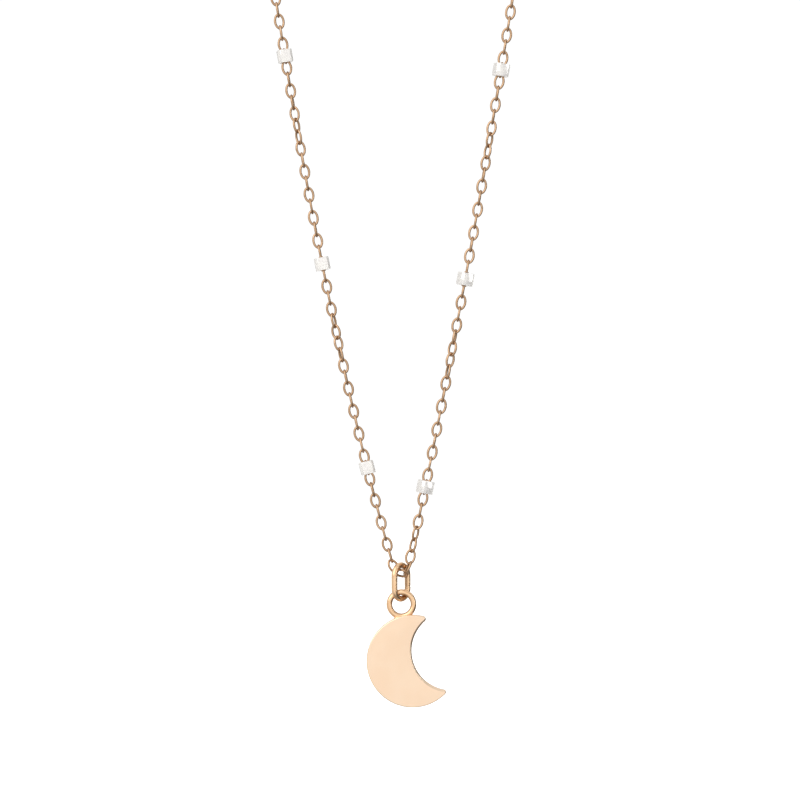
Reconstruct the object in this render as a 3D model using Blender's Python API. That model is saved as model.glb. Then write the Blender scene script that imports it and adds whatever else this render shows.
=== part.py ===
"""Pendant necklace: a cable chain with small fixed beads, closed at the top by a
trigger clasp, and a crescent-moon pendant that hangs from two rings at the lowest link.

The necklace hangs in the XZ plane. Its front faces -Y. The origin is the middle of the
flat back of the clasp's palm. Dimensions below are in millimetres; meshes are in metres.
Every moving body has a pivot, an empty that its pieces are parented to.
"""

import math
from bisect import bisect_right

import bmesh
import bpy
from mathutils import Matrix, Vector

MM = 0.001
LEFT, RIGHT = -1, 1  # the two strands; also the sign of their x
WORD = {LEFT: "left", RIGHT: "right"}
SMOOTH_ANGLE = math.radians(35)  # sharper edges stay sharp
MERGE = 1e-5  # points closer than this become one
CUT_EXTRA = 1.0  # a cutter is this much longer than the piece it cuts

# ---------------------------------------------------------------- chain dimensions
WIRE = 0.30  # chain wire diameter
LINK_W = 1.36  # outer width of a link
# The solid links have a three-sided wire of the same area as the round one, so that
# the whole chain stays light; two of them touch when their middles are this far apart.
TOUCH = 0.33
WIRE_SIDES = 3
LINK_END = 0.80  # flat end of a link's outline, as a share of its width
HIDDEN_LINK_W = 1.17  # a link inside a bead is pinched narrower
END_LINK_W = 1.66  # the last link of each strand is wider, to take its ring
END_LINK_INSET = 0.24  # from the middle of that link's end wire to its inside
END_LINK_GAP = 0.02  # from there to the ring's wire

BEAD_EVERY = 18  # links from one bead to the next
BEAD_COUNT = 7  # beads on each strand
FIRST_BEAD = {LEFT: 10, RIGHT: 8}  # link that carries the lowest bead
BEAD_LINKS = {
    side: [first + BEAD_EVERY * n for n in range(BEAD_COUNT)]
    for side, first in FIRST_BEAD.items()
}
BEAD_W, BEAD_L = 1.80, 1.60  # across the flats, along the chain
BEAD_HOLE = 1.30
BEAD_HOLE_SIDES = 8
BEAD_CHAMFER = 0.30
BEAD_TURN = {LEFT: 8.0, RIGHT: 24.0}  # degrees by which the beads show a side face

# link spacing along the strand: below the 1st bead, 1st to 2nd, 2nd to 3rd, further up
PITCHES = {LEFT: (1.419, 1.449, 1.465, 1.465), RIGHT: (1.480, 1.470, 1.473, 1.465)}
APEX = (0.08, 0.006)  # middle of the link that carries the pendant
APEX_PITCH = 1.40
FIRST_LINK = {LEFT: (-0.894, 0.863), RIGHT: (0.879, 0.643)}  # x, z
APEX_ROLL = 39.5  # degrees about their own length, so that the three links thread
FIRST_ROLL = {LEFT: 22.3, RIGHT: 103.8}

# the chain runs through the oval ring: left links go back, right links come forward
DEPTH_BY_OVAL = {LEFT: 0.16, RIGHT: 0.45}
DEPTH_LINKS = 3  # links over which that depth fades out
APEX_DEPTH = 0.12

# small extra turns, so that no two links turn by exactly a quarter
ROLL_SWAY = 3.0  # degrees
ROLL_SWAY_STEP = 2.399  # radians from link to link

# a hanging strand: (start, spread, rise) in x = start + spread * ln(1 + z / rise)
CURVE = {LEFT: (0.70, 25.0, 88.0), RIGHT: (0.82, 42.0, 195.0)}
EASE_HEIGHT = 6.0  # height over which a strand eases from its first link to its curve
TOP_RADIUS = 25.6  # the chain's circle over the top
TOP_ARC_END = 9.6  # distance in x from the circle's middle where the chain leaves it
CURVE_STEPS, ARC_STEPS, STRAIGHT_STEPS = 1200, 600, 60

# folds: contacts between link n and n + 1 on both strands, counted from the apex
# link and listed from the top down
FOLDS = [5 + 9 * n for n in reversed(range(12))] + [0]

# ---------------------------------------------------------------- pendant dimensions
OVAL_WIRE = 0.74  # oval ring between the chain and the moon
OVAL_W, OVAL_H = 3.37, 4.96
OVAL_TOP = 1.38
OVAL_TURN = math.radians(51.3)  # about the vertical
OVAL_X = 0.05
OVAL_POINTS = 20

EYE_WIRE = 0.73  # ring soldered into the moon
EYE_D = 3.75
EYE_AT = (0.10, -3.87)
EYE_POINTS = 24
EYE_RADIUS = (EYE_D - EYE_WIRE) / 2
SEAT_GAP = 0.04  # room round the eye ring's wire in the moon

MOON_R, MOON_AT = 5.77, (1.504, -10.97)  # outer circle
BITE_R, BITE_AT = 4.95, (6.33, -9.68)  # inner circle
TIP_TOP, TIP_LOW = 0.36, 0.28  # horn tip radii
MOON_T = 1.60
MOON_EDGE = 0.32  # chamfer of the rim
RIM_ANGLE = 1.2  # radians; the rim's edges are sharper than this

# ---------------------------------------------------------------- clasp dimensions
# places on the clasp are x, z from the middle of the claw's outline
CLASP_T = 1.6
CLASP_DROP = 0.95  # the clasp's middle below the top of the chain's circle
CLASP_A, CLASP_B = 4.6, 2.75  # half length, half height of the claw's outline
MOUTH_A, MOUTH_B, MOUTH_X = 2.55, 1.45, 1.15
PALM_X = -2.85  # middle of the clasp's palm, where the frame's origin sits
EYELET_X, EYELET_R, EYELET_HOLE = -5.0, 1.30, 0.74
EYELET_T = 1.0
EYELET_DISC_SHIFT = 0.15  # the disc's middle is this far right of the hole's
NECK_X = (EYELET_X + 0.4, EYELET_X + 1.6)  # the neck joins the disc to the claw
NECK_HALF_H = 0.8
SLOT_T, SLOT_X = 0.84, (-3.7, -0.1)  # slot for the lever
SLOT_LOW, SLOT_TOP = -4, -0.35
LEVER_T = 0.70
PIVOT = (-1.75, -1.62)
RIVET_R = 0.32
RIVET_EXTRA = 0.10  # the rivet's length beyond the clasp's thickness
BODY_BORE_GAP, LEVER_BORE_GAP = 0.02, 0.05  # room round the rivet
RIVET_SIDES = 12

# the lever closes the claw's ring from PALM_END to HOOK_TIP, in degrees round it
PALM_END, HOOK_TIP = 250.0, 300.0
CLAW_OUTER = (HOOK_TIP, PALM_END + 360)
CLAW_INNER = (PALM_END - 15 + 360, HOOK_TIP)
LEVER_OUTER = (PALM_END - 10, HOOK_TIP - 2.5)
LEVER_INNER = (HOOK_TIP - 3.5, PALM_END - 12)
# x, z round the pivot, then out to the thumb piece under the palm
LEVER_THUMB = [
    (-1.10, -0.98), (-1.75, -0.92), (-2.35, -1.15), (-2.75, -1.75), (-3.35, -2.45),
    (-3.85, -2.95), (-3.55, -3.30), (-3.00, -3.00), (-2.60, -2.68),
]
# x, z along the spring
SPRING = [(-3.45, -1.25), (-3.30, -0.66), (-2.40, -0.50), (-1.60, -0.52), (-1.18, -0.80)]
SPRING_RADIUS = 0.07

# the rings lie level and hold the ends of the chain
CLASP_RING_D, CLASP_RING_WIRE = 3.2, 0.50
CLASP_RING_RADIUS = (CLASP_RING_D - CLASP_RING_WIRE) / 2
CLASP_RING_X = EYELET_X - 0.34 - CLASP_RING_RADIUS
END_RING_D, END_RING_WIRE = 4.4, 0.60
END_RING_RADIUS = (END_RING_D - END_RING_WIRE) / 2
END_RING_X = MOUTH_X + MOUTH_A + 1.30
RING_POINTS = 18
RING_WIRE = {LEFT: CLASP_RING_WIRE, RIGHT: END_RING_WIRE}

# ---------------------------------------------------------------- start clean
for old in list(bpy.data.objects):
    bpy.data.objects.remove(old)

parts = bpy.data.collections.new("pendant_necklace")
cutters = bpy.data.collections.new("cutters")
bpy.context.scene.collection.children.link(parts)
bpy.context.scene.collection.children.link(cutters)


def metal(name, colour, roughness):
    material = bpy.data.materials.new(name)
    material.use_nodes = True
    inputs = material.node_tree.nodes["Principled BSDF"].inputs
    inputs["Base Color"].default_value = (*colour, 1.0)
    inputs["Metallic"].default_value = 1.0
    inputs["Roughness"].default_value = roughness
    return material


ROSE = metal("rose_gold_polished", colour=(0.93, 0.66, 0.50), roughness=0.18)
CHAIN = metal("rose_gold_chain", colour=(0.86, 0.55, 0.38), roughness=0.25)
WHITE = metal("white_silver", colour=(0.86, 0.85, 0.82), roughness=0.20)
STEEL = metal("spring_steel", colour=(0.62, 0.62, 0.62), roughness=0.30)


# ---------------------------------------------------------------- top circle and clasp
def strand_x(side, z):
    """x of a hanging strand at height z."""
    start, spread, rise = CURVE[side]
    return side * (start + spread * math.log(1 + z / rise))


def circle_centre(side, z):
    """Centre of the top circle if the strand left its curve at height z."""
    _, spread, rise = CURVE[side]
    slope = spread / (rise + z)
    norm = math.hypot(1, slope)
    return strand_x(side, z) - side * TOP_RADIUS / norm, z + TOP_RADIUS * slope / norm


def find_zero(rising, low, high):
    """Where a rising function crosses zero."""
    for _ in range(60):
        mid = (low + high) / 2
        if rising(mid) > 0:
            high = mid
        else:
            low = mid
    return (low + high) / 2


def right_leave(left_z):
    """Height on the right strand whose circle is level with the left strand's."""
    want = circle_centre(LEFT, left_z)[1]
    return find_zero(lambda z: circle_centre(RIGHT, z)[1] - want, 50, 260)


def centres_gap(left_z):
    """Rises with left_z: zero where both strands meet the same circle."""
    return circle_centre(RIGHT, right_leave(left_z))[0] - circle_centre(LEFT, left_z)[0]


left_leave = find_zero(centres_gap, 60, 240)
LEAVE = {LEFT: left_leave, RIGHT: right_leave(left_leave)}
CIRCLE_X, CIRCLE_Z = circle_centre(LEFT, LEAVE[LEFT])

# the clasp lies level just under the top of the circle
CLASP_X = CIRCLE_X
CLASP_Z = CIRCLE_Z + TOP_RADIUS - CLASP_DROP
# x where the wire of each ring holds the end of the chain
HOLD = {
    LEFT: CLASP_X + CLASP_RING_X - CLASP_RING_RADIUS,
    RIGHT: CLASP_X + END_RING_X + END_RING_RADIUS,
}


def clasp_point(x, z, y=0.0):
    """A place on the clasp, in the necklace's frame."""
    return Vector((CLASP_X + x, y, CLASP_Z + z))


ORIGIN = clasp_point(PALM_X, 0, CLASP_T / 2)


# ---------------------------------------------------------------- the strands' path
def path(side):
    """Dense x, z points up one strand, over the top circle and straight to its ring."""
    first_x, first_z = FIRST_LINK[side]
    offset = first_x - strand_x(side, first_z)
    points = []
    for i in range(CURVE_STEPS + 1):
        z = first_z + (LEAVE[side] - first_z) * i / CURVE_STEPS
        # the strand starts on its first link and eases onto its curve
        ease = max(0.0, 1 - (z - first_z) / EASE_HEIGHT) ** 2
        points.append(Vector((strand_x(side, z) + offset * ease, z)))
    out = points[-1] - Vector((CIRCLE_X, CIRCLE_Z))
    # angles from the top of the circle
    start = math.atan2(out.x * side, out.y)
    stop = math.asin(TOP_ARC_END / TOP_RADIUS)
    for i in range(1, ARC_STEPS + 1):
        angle = start + (stop - start) * i / ARC_STEPS
        x = CIRCLE_X + side * TOP_RADIUS * math.sin(angle)
        points.append(Vector((x, CIRCLE_Z + TOP_RADIUS * math.cos(angle))))
    corner, hold = points[-1], Vector((HOLD[side], CLASP_Z))
    points += [corner.lerp(hold, i / STRAIGHT_STEPS) for i in range(1, STRAIGHT_STEPS + 1)]
    return points


def point_along(points, lengths, reach):
    """The point at distance reach along the points; lengths holds theirs."""
    low = min(bisect_right(lengths, reach), len(lengths) - 1) - 1
    share = (reach - lengths[low]) / (lengths[low + 1] - lengths[low])
    return points[low].lerp(points[low + 1], share)


def link_centres(side):
    """Centres of link 1 and up on one strand, and the link spacing near each."""
    points = path(side)
    lengths = [0.0]
    for start, end in zip(points, points[1:]):
        lengths.append(lengths[-1] + (end - start).length)
    pitches = PITCHES[side]
    reaches, spacing = [0.0], [pitches[0]]
    for pitch, bead_link in zip(pitches[:3], BEAD_LINKS[side]):
        while len(reaches) < bead_link:
            reaches.append(reaches[-1] + pitch)
            spacing.append(pitch)
    # from the third bead up, a whole number of links reaches the strand's ring,
    # whose wire sits just inside the last link's end
    half_link = (pitches[3] + TOUCH) / 2
    last = lengths[-1] - (half_link - END_LINK_INSET - RING_WIRE[side] / 2 - END_LINK_GAP)
    steps = round((last - reaches[-1]) / pitches[3])
    pitch = (last - reaches[-1]) / steps
    for _ in range(steps):
        reaches.append(reaches[-1] + pitch)
        spacing.append(pitch)
    return [point_along(points, lengths, reach) for reach in reaches], spacing


CENTRES, SPACING = {}, {}
for side in (LEFT, RIGHT):
    CENTRES[side], SPACING[side] = link_centres(side)
LAST_LINK = {side: len(CENTRES[side]) for side in (LEFT, RIGHT)}


# ---------------------------------------------------------------- how each link lies
# `link` is a link's number on its strand; link 0 is the apex link
def centre(side, link):
    return Vector(APEX) if link == 0 else CENTRES[side][link - 1]


def link_pitch(side, link):
    return SPACING[side][link - 1] if link else APEX_PITCH


def link_width(side, link):
    if link in BEAD_LINKS[side]:
        return HIDDEN_LINK_W
    return END_LINK_W if link == LAST_LINK[side] else LINK_W


def tangent(side, link):
    """Unit vector in x, z along the strand."""
    if link == LAST_LINK[side]:
        return (Vector((HOLD[side], CLASP_Z)) - centre(side, link - 1)).normalized()
    return (centre(side, link + 1) - centre(side, link - 1)).normalized()


def smooth(x):
    x = min(1.0, max(0.0, x))
    return x * x * (3 - 2 * x)


def roll(side, link):
    """Degrees a link is turned about the chain: 0 shows its face, 90 its edge."""
    if link == 0:
        return APEX_ROLL
    if link == 1:
        return FIRST_ROLL[side]
    turn = 0.0 if side == LEFT else 90.0 + 90.0 * smooth((link - 1) / 5)
    # a quarter turn over seven links, before every bead but the lowest
    for bead_link in BEAD_LINKS[side][1:]:
        turn += 90.0 * smooth((link - (bead_link - 10)) / 7)
    # the last link faces front, because its ring lies level
    end = LAST_LINK[side]
    surplus = (0.0 if end % 2 else 90.0) + 90.0 * (BEAD_COUNT - 1)
    turn -= (surplus % 180.0) * smooth((link - (end - 7)) / 6)
    if link < end:
        turn += ROLL_SWAY * math.sin(link * ROLL_SWAY_STEP + side)
    return (0.0 if link % 2 else 90.0) + turn


def from_xz(point, y=0.0):
    return Vector((point.x, y, point.y))


def link_depth(side, link):
    """The links beside the oval ring sit a little behind or before it, to clear it."""
    if link == 0:
        return APEX_DEPTH
    return side * -DEPTH_BY_OVAL[side] * max(0.0, 1 - (link - 1) / DEPTH_LINKS)


def spot(side, link):
    """Centre of a link in space."""
    return from_xz(centre(side, link), link_depth(side, link))


def direction(side, link):
    """Unit vector along a link, up its strand; the apex link points to the right."""
    if link == 0:
        return (spot(RIGHT, 1) - spot(LEFT, 1)).normalized()
    if link == LAST_LINK[side]:
        return from_xz(tangent(side, link))
    return (spot(side, link + 1) - spot(side, link - 1)).normalized()


def low_end(side, link):
    """Middle of the wire at a link's lower end; of the apex link, its left end."""
    half_link = (link_pitch(side, link) + TOUCH) / 2
    return spot(side, link) - direction(side, link) * half_link


# ---------------------------------------------------------------- modelling helpers
def temp(data):
    ob = bpy.data.objects.new("temp", data)
    cutters.objects.link(ob)
    return ob


def evaluated_mesh(ob):
    """The evaluated shape of a curve or of an object with modifiers, as one mesh."""
    bpy.context.view_layer.update()
    graph = bpy.context.evaluated_depsgraph_get()
    mesh = bpy.data.meshes.new_from_object(ob.evaluated_get(graph))
    bm = bmesh.new()
    bm.from_mesh(mesh)
    bmesh.ops.remove_doubles(bm, verts=bm.verts, dist=MERGE)
    bmesh.ops.recalc_face_normals(bm, faces=bm.faces)
    bm.to_mesh(mesh)
    bm.free()
    bpy.data.objects.remove(ob)
    return mesh


def finish(bm, name):
    """Turn a bmesh into a new mesh and free it."""
    mesh = bpy.data.meshes.new(name)
    bm.to_mesh(mesh)
    bm.free()
    return mesh


def poly_curve(name, dimensions, points, closed=True):
    curve = bpy.data.curves.new(name, "CURVE")
    curve.dimensions = dimensions
    spline = curve.splines.new("POLY")
    spline.points.add(len(points) - 1)
    for spline_point, point in zip(spline.points, points):
        spline_point.co = (*point, 1.0)
    spline.use_cyclic_u = closed
    return curve


def round_wire(points, radius, resolution=1, closed=True):
    curve = poly_curve("wire", "3D", points, closed)
    curve.bevel_depth = radius
    curve.bevel_resolution = resolution
    curve.use_fill_caps = not closed
    return evaluated_mesh(temp(curve))


def ring_points(radius, count, middle, second_axis):
    """Points round a circle in the plane of X and the second axis."""
    middle, first, second = Vector(middle), Vector((1, 0, 0)), Vector(second_axis)
    angles = [2 * math.pi * i / count for i in range(count)]
    return [middle + radius * (math.cos(a) * first + math.sin(a) * second) for a in angles]


def arc(middle, radius_x, radius_z, start, end, steps):
    """x, z points on an ellipse, between two angles in radians."""
    angles = [start + (end - start) * i / steps for i in range(steps + 1)]
    x, z = middle
    return [(x + radius_x * math.cos(a), z + radius_z * math.sin(a)) for a in angles]


def plate(outline, thickness):
    """A flat plate with the outline's shape in the XZ plane, centred on y = 0."""
    curve = poly_curve("outline", "2D", [(x, z, 0) for x, z in outline])
    curve.fill_mode = "BOTH"
    curve.extrude = thickness / 2
    mesh = evaluated_mesh(temp(curve))
    mesh.transform(Matrix.Rotation(math.pi / 2, 4, "X"))
    return mesh


def boolean(mesh, others, operation):
    """mesh joined with, or cut by, each of the others."""
    ob = temp(mesh)
    helpers = []
    for other in others:
        helper = temp(other)
        helper.hide_render = True
        helpers.append(helper)
        modifier = ob.modifiers.new("cut", "BOOLEAN")
        modifier.operation = operation
        modifier.solver = "EXACT"
        modifier.object = helper
    result = evaluated_mesh(ob)
    for helper in helpers:
        bpy.data.objects.remove(helper)
    return result


def prism(radius, length, sides, turn, axis):
    """A bmesh bar along Z about the origin, then turned about an axis."""
    bm = bmesh.new()
    bmesh.ops.create_cone(
        bm, cap_ends=True, segments=sides, radius1=radius, radius2=radius, depth=length
    )
    bmesh.ops.rotate(bm, matrix=Matrix.Rotation(turn, 3, axis), verts=bm.verts)
    return bm


def cylinder(radius, length, middle, sides):
    """A round bar along Y."""
    bm = prism(radius, length, sides, math.pi / 2, "X")
    bmesh.ops.translate(bm, vec=middle, verts=bm.verts)
    return finish(bm, "bar")


def block(size):
    bm = bmesh.new()
    bmesh.ops.create_cube(bm, size=1)
    bmesh.ops.scale(bm, vec=size, verts=bm.verts)
    return bm


def box(low, high):
    """A box between two corners."""
    bm = block(high - low)
    bmesh.ops.translate(bm, vec=(low + high) / 2, verts=bm.verts)
    return finish(bm, "box")


def frame(x_axis, y_axis, z_axis, middle):
    """Matrix that moves a piece from the origin onto these axes at middle."""
    return Matrix((*zip(x_axis, y_axis, z_axis, middle), (0, 0, 0, 1)))


# ---------------------------------------------------------------- bodies and their pivots
pivots = {}
empties = {}


def add_pivot(name, place_at, parent=None):
    empty = bpy.data.objects.new(f"pivot_{name}", None)
    empty.empty_display_size = 0.002
    parts.objects.link(empty)
    empty.parent = empties[parent] if parent else None
    empty.location = (place_at - (pivots[parent] if parent else ORIGIN)) * MM
    pivots[name] = place_at
    empties[name] = empty


add_pivot("upper_chain", ORIGIN)
for i, fold in enumerate(FOLDS[:-1], 1):
    for side, word in WORD.items():
        contact = (centre(side, fold) + centre(side, fold + 1)) / 2
        above = f"{word}_run_{i - 1:02d}" if i > 1 else "upper_chain"
        add_pivot(f"{word}_run_{i:02d}", from_xz(contact), above)
lowest_run = f"left_run_{len(FOLDS) - 1:02d}"
add_pivot("apex_link", (low_end(LEFT, 1) + low_end(LEFT, 0)) / 2, lowest_run)
add_pivot("oval_ring", Vector((OVAL_X, 0, OVAL_TOP - OVAL_WIRE)), "apex_link")
add_pivot("moon", Vector((EYE_AT[0], 0, EYE_AT[1] + EYE_RADIUS)), "oval_ring")
add_pivot("clasp_lever", clasp_point(*PIVOT), "upper_chain")
add_pivot("clasp_ring", clasp_point(CLASP_RING_X, 0), "upper_chain")
add_pivot("end_ring", clasp_point(END_RING_X, 0), "upper_chain")


def place(name, mesh, material, body):
    """A finished piece: origin on its body's joint, parented to the body's pivot."""
    mesh.transform(Matrix.Scale(MM, 4) @ Matrix.Translation(-pivots[body]))
    mesh.name = name
    mesh.materials.clear()
    mesh.materials.append(material)
    mesh.shade_smooth()
    mesh.set_sharp_from_angle(angle=SMOOTH_ANGLE)
    ob = bpy.data.objects.new(name, mesh)
    ob.parent = empties[body]
    parts.objects.link(ob)


# ---------------------------------------------------------------- chain
def wire_section():
    """A regular polygon with the round wire's area, one corner on its own -Y."""
    area = math.pi * WIRE * WIRE / 4
    radius = math.sqrt(area / (WIRE_SIDES / 2 * math.sin(2 * math.pi / WIRE_SIDES)))
    angles = [2 * math.pi * i / WIRE_SIDES - math.pi / 2 for i in range(WIRE_SIDES)]
    corners = [(radius * math.cos(a), radius * math.sin(a), 0) for a in angles]
    return temp(poly_curve("section", "2D", corners))


def link_mesh(pitch, width):
    """One oval link about the origin: length along Z, width along X."""
    half_l = (pitch + TOUCH) / 2
    half_w = (width - WIRE) / 2
    end = LINK_END * half_w
    outline = [
        (half_w, 0, 0),
        (end, 0, -half_l),
        (-end, 0, -half_l),
        (-half_w, 0, 0),
        (-end, 0, half_l),
        (end, 0, half_l),
    ]
    curve = poly_curve("link", "3D", outline)
    section = wire_section()
    curve.bevel_mode = "OBJECT"
    curve.bevel_object = section
    mesh = evaluated_mesh(temp(curve))
    bpy.data.objects.remove(section)
    return mesh


link_cache = {}  # (pitch, width) -> mesh


def add_link(bm, side, link):
    key = (round(link_pitch(side, link), 5), link_width(side, link))
    if key not in link_cache:
        link_cache[key] = link_mesh(*key)
    up = direction(side, link)
    across = Vector((0, 1, 0)).cross(up).normalized()
    turn = math.radians(roll(side, link))
    width = math.cos(turn) * across + math.sin(turn) * up.cross(across)
    moved = bmesh.new()
    moved.from_mesh(link_cache[key])
    moved.transform(frame(width, up.cross(width), up, spot(side, link)))
    copy = finish(moved, "link")
    bm.from_mesh(copy)
    bpy.data.meshes.remove(copy)


def loose_links(side, links):
    bm = bmesh.new()
    for link in links:
        add_link(bm, side, link)
    return finish(bm, "links")


def chain_run(side, links):
    """Neighbouring links of a strand, joined where they touch."""
    even = loose_links(side, [link for link in links if link % 2 == 0])
    odd = loose_links(side, [link for link in links if link % 2 == 1])
    return boolean(even, [odd], "UNION")


def strand_runs(side):
    """(piece name, link numbers, body) of each run of a strand, from the top down."""
    word = WORD[side]
    top = range(FOLDS[0] + 1, LAST_LINK[side] + 1)
    runs = [(f"{word}_chain_top", top, "upper_chain")]
    for i, (upper, lower) in enumerate(zip(FOLDS, FOLDS[1:]), 1):
        links = range(lower + 1, upper + 1)
        runs.append((f"{word}_chain_{i:02d}", links, f"{word}_run_{i:02d}"))
    return runs


def bead_mesh(side, link):
    """A small cube with its long edges cut off and a bore along the chain."""
    bm = block((BEAD_W, BEAD_W, BEAD_L))
    long_edges = [e for e in bm.edges if abs(e.verts[0].co.z - e.verts[1].co.z) > 0.1]
    bmesh.ops.bevel(bm, geom=long_edges, offset=BEAD_CHAMFER, segments=1, affect="EDGES")
    half_side = math.pi / BEAD_HOLE_SIDES
    bore_radius = BEAD_HOLE / 2 / math.cos(half_side)
    bore = prism(bore_radius, BEAD_L + CUT_EXTRA, BEAD_HOLE_SIDES, half_side, "Z")
    mesh = boolean(finish(bm, "bead"), [finish(bore, "bore")], "DIFFERENCE")
    along = tangent(side, link)
    up, across = Vector((along.x, 0, along.y)), Vector((along.y, 0, -along.x))
    turn = math.radians(BEAD_TURN[side])
    flat = math.cos(turn) * across + math.sin(turn) * Vector((0, 1, 0))
    mesh.transform(frame(flat, up.cross(flat), up, from_xz(centre(side, link))))
    return mesh


for side, word in WORD.items():
    for name, links, body in strand_runs(side):
        place(name, chain_run(side, links), CHAIN, body)
    for n, link in enumerate(BEAD_LINKS[side], 1):
        bead_body = next(body for _, links, body in strand_runs(side) if link in links)
        place(f"{word}_bead_{n}", bead_mesh(side, link), WHITE, bead_body)
place("apex_chain_link", loose_links(LEFT, [0]), CHAIN, "apex_link")


# ---------------------------------------------------------------- pendant rings
def oval_points():
    """Straight sides with round ends, turned about the vertical."""
    broad = Vector((math.cos(OVAL_TURN), math.sin(OVAL_TURN), 0))
    middle = Vector((OVAL_X, 0, OVAL_TOP - OVAL_H / 2))
    half_w, half_h = (OVAL_W - OVAL_WIRE) / 2, (OVAL_H - OVAL_WIRE) / 2
    points = []
    for i in range(OVAL_POINTS):
        angle = 2 * math.pi * (i + 0.5) / OVAL_POINTS
        z = half_w * math.cos(angle) + math.copysign(half_h - half_w, math.cos(angle))
        points.append(middle + broad * half_w * math.sin(angle) + Vector((0, 0, z)))
    return points


def eye_ring(wire_radius):
    middle = (EYE_AT[0], 0, EYE_AT[1])
    return round_wire(ring_points(EYE_RADIUS, EYE_POINTS, middle, (0, 0, 1)), wire_radius)


place("oval_ring", round_wire(oval_points(), OVAL_WIRE / 2), ROSE, "oval_ring")
place("moon_eye_ring", eye_ring(EYE_WIRE / 2), ROSE, "moon")


# ---------------------------------------------------------------- moon
def tip_circle(radius, sign):
    """Centre of the small circle that rounds a horn between the two big circles."""
    moon_x, moon_z = MOON_AT
    step_x, step_z = BITE_AT[0] - moon_x, BITE_AT[1] - moon_z
    gap = math.hypot(step_x, step_z)
    from_moon, from_bite = MOON_R - radius, BITE_R + radius
    along = (from_moon**2 - from_bite**2 + gap * gap) / (2 * gap)
    aside = sign * math.sqrt(from_moon**2 - along * along)
    unit_x, unit_z = step_x / gap, step_z / gap
    return (
        moon_x + along * unit_x - aside * unit_z,
        moon_z + along * unit_z + aside * unit_x,
    )


def heading(start, end):
    return math.atan2(end[1] - start[1], end[0] - start[0])


def horn_tip(tip, radius, start, end):
    """Anticlockwise round a horn's tip."""
    return arc(tip, radius, radius, start, start + (end - start) % (2 * math.pi), 4)


def crescent():
    top, low = tip_circle(TIP_TOP, 1), tip_circle(TIP_LOW, -1)
    outer_end = heading(MOON_AT, low) + 2 * math.pi
    outer = arc(MOON_AT, MOON_R, MOON_R, heading(MOON_AT, top), outer_end, 28)
    low_tip = horn_tip(low, TIP_LOW, heading(MOON_AT, low), heading(low, BITE_AT))
    start, end = heading(BITE_AT, low), heading(BITE_AT, top)
    inner = arc(BITE_AT, BITE_R, BITE_R, start, start - (start - end) % (2 * math.pi), 16)
    top_tip = horn_tip(top, TIP_TOP, heading(top, BITE_AT), heading(MOON_AT, top))
    return outer + low_tip[1:] + inner[1:] + top_tip[1:-1]


def moon_mesh():
    """The crescent with a chamfered rim and a seat for the eye ring."""
    mesh = plate(crescent(), MOON_T)
    bm = bmesh.new()
    bm.from_mesh(mesh)
    bmesh.ops.dissolve_limit(
        bm, angle_limit=0.001, verts=bm.verts, edges=bm.edges, delimit=set()
    )
    rim = [
        e
        for e in bm.edges
        if len(e.link_faces) == 2
        and e.calc_face_angle() > RIM_ANGLE
        and abs(e.verts[0].co.y - e.verts[1].co.y) < 1e-4
    ]
    bmesh.ops.bevel(bm, geom=rim, offset=MOON_EDGE, segments=1, affect="EDGES")
    bm.to_mesh(mesh)
    bm.free()
    return boolean(mesh, [eye_ring(EYE_WIRE / 2 + SEAT_GAP)], "DIFFERENCE")


place("moon_plate", moon_mesh(), ROSE, "moon")


# ---------------------------------------------------------------- clasp
def claw_arc(span, steps):
    start, end = map(math.radians, span)
    return arc((0, 0), CLASP_A, CLASP_B, start, end, steps)


def mouth_arc(span, steps):
    start, end = map(math.radians, span)
    return arc((MOUTH_X, 0), MOUTH_A, MOUTH_B, start, end, steps)


def clasp_plate(outline, thickness):
    return plate([(x + CLASP_X, z + CLASP_Z) for x, z in outline], thickness)


def pivot_bar(radius, length):
    return cylinder(radius, length, clasp_point(*PIVOT), RIVET_SIDES)


def clasp_body():
    """The claw with its eyelet, slotted for the lever and bored for the rivet."""
    claw = clasp_plate(claw_arc(CLAW_OUTER, 40) + mouth_arc(CLAW_INNER, 24), CLASP_T)
    disc_at = clasp_point(EYELET_X + EYELET_DISC_SHIFT, 0)
    disc = cylinder(EYELET_R, EYELET_T, disc_at, 24)
    neck = box(
        clasp_point(NECK_X[0], -NECK_HALF_H, -EYELET_T / 2),
        clasp_point(NECK_X[1], NECK_HALF_H, EYELET_T / 2),
    )
    body = boolean(claw, [disc, neck], "UNION")
    hole = cylinder(EYELET_HOLE, CLASP_T + CUT_EXTRA, clasp_point(EYELET_X, 0), 16)
    slot = box(
        clasp_point(SLOT_X[0], SLOT_LOW, -SLOT_T / 2),
        clasp_point(SLOT_X[1], SLOT_TOP, SLOT_T / 2),
    )
    bore = pivot_bar(RIVET_R + BODY_BORE_GAP, CLASP_T + CUT_EXTRA)
    return boolean(body, [hole, slot, bore], "DIFFERENCE")


def clasp_lever():
    outline = claw_arc(LEVER_OUTER, 12) + mouth_arc(LEVER_INNER, 10) + LEVER_THUMB
    bore = pivot_bar(RIVET_R + LEVER_BORE_GAP, LEVER_T + CUT_EXTRA)
    return boolean(clasp_plate(outline, LEVER_T), [bore], "DIFFERENCE")


def clasp_spring():
    """A leaf of spring wire above the lever: it bends when the lever opens."""
    points = [clasp_point(x, z) for x, z in SPRING]
    return round_wire(points, SPRING_RADIUS, resolution=0, closed=False)


def level_ring(x, radius, wire):
    points = ring_points(radius, RING_POINTS, clasp_point(x, 0), (0, 1, 0))
    return round_wire(points, wire / 2)


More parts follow.
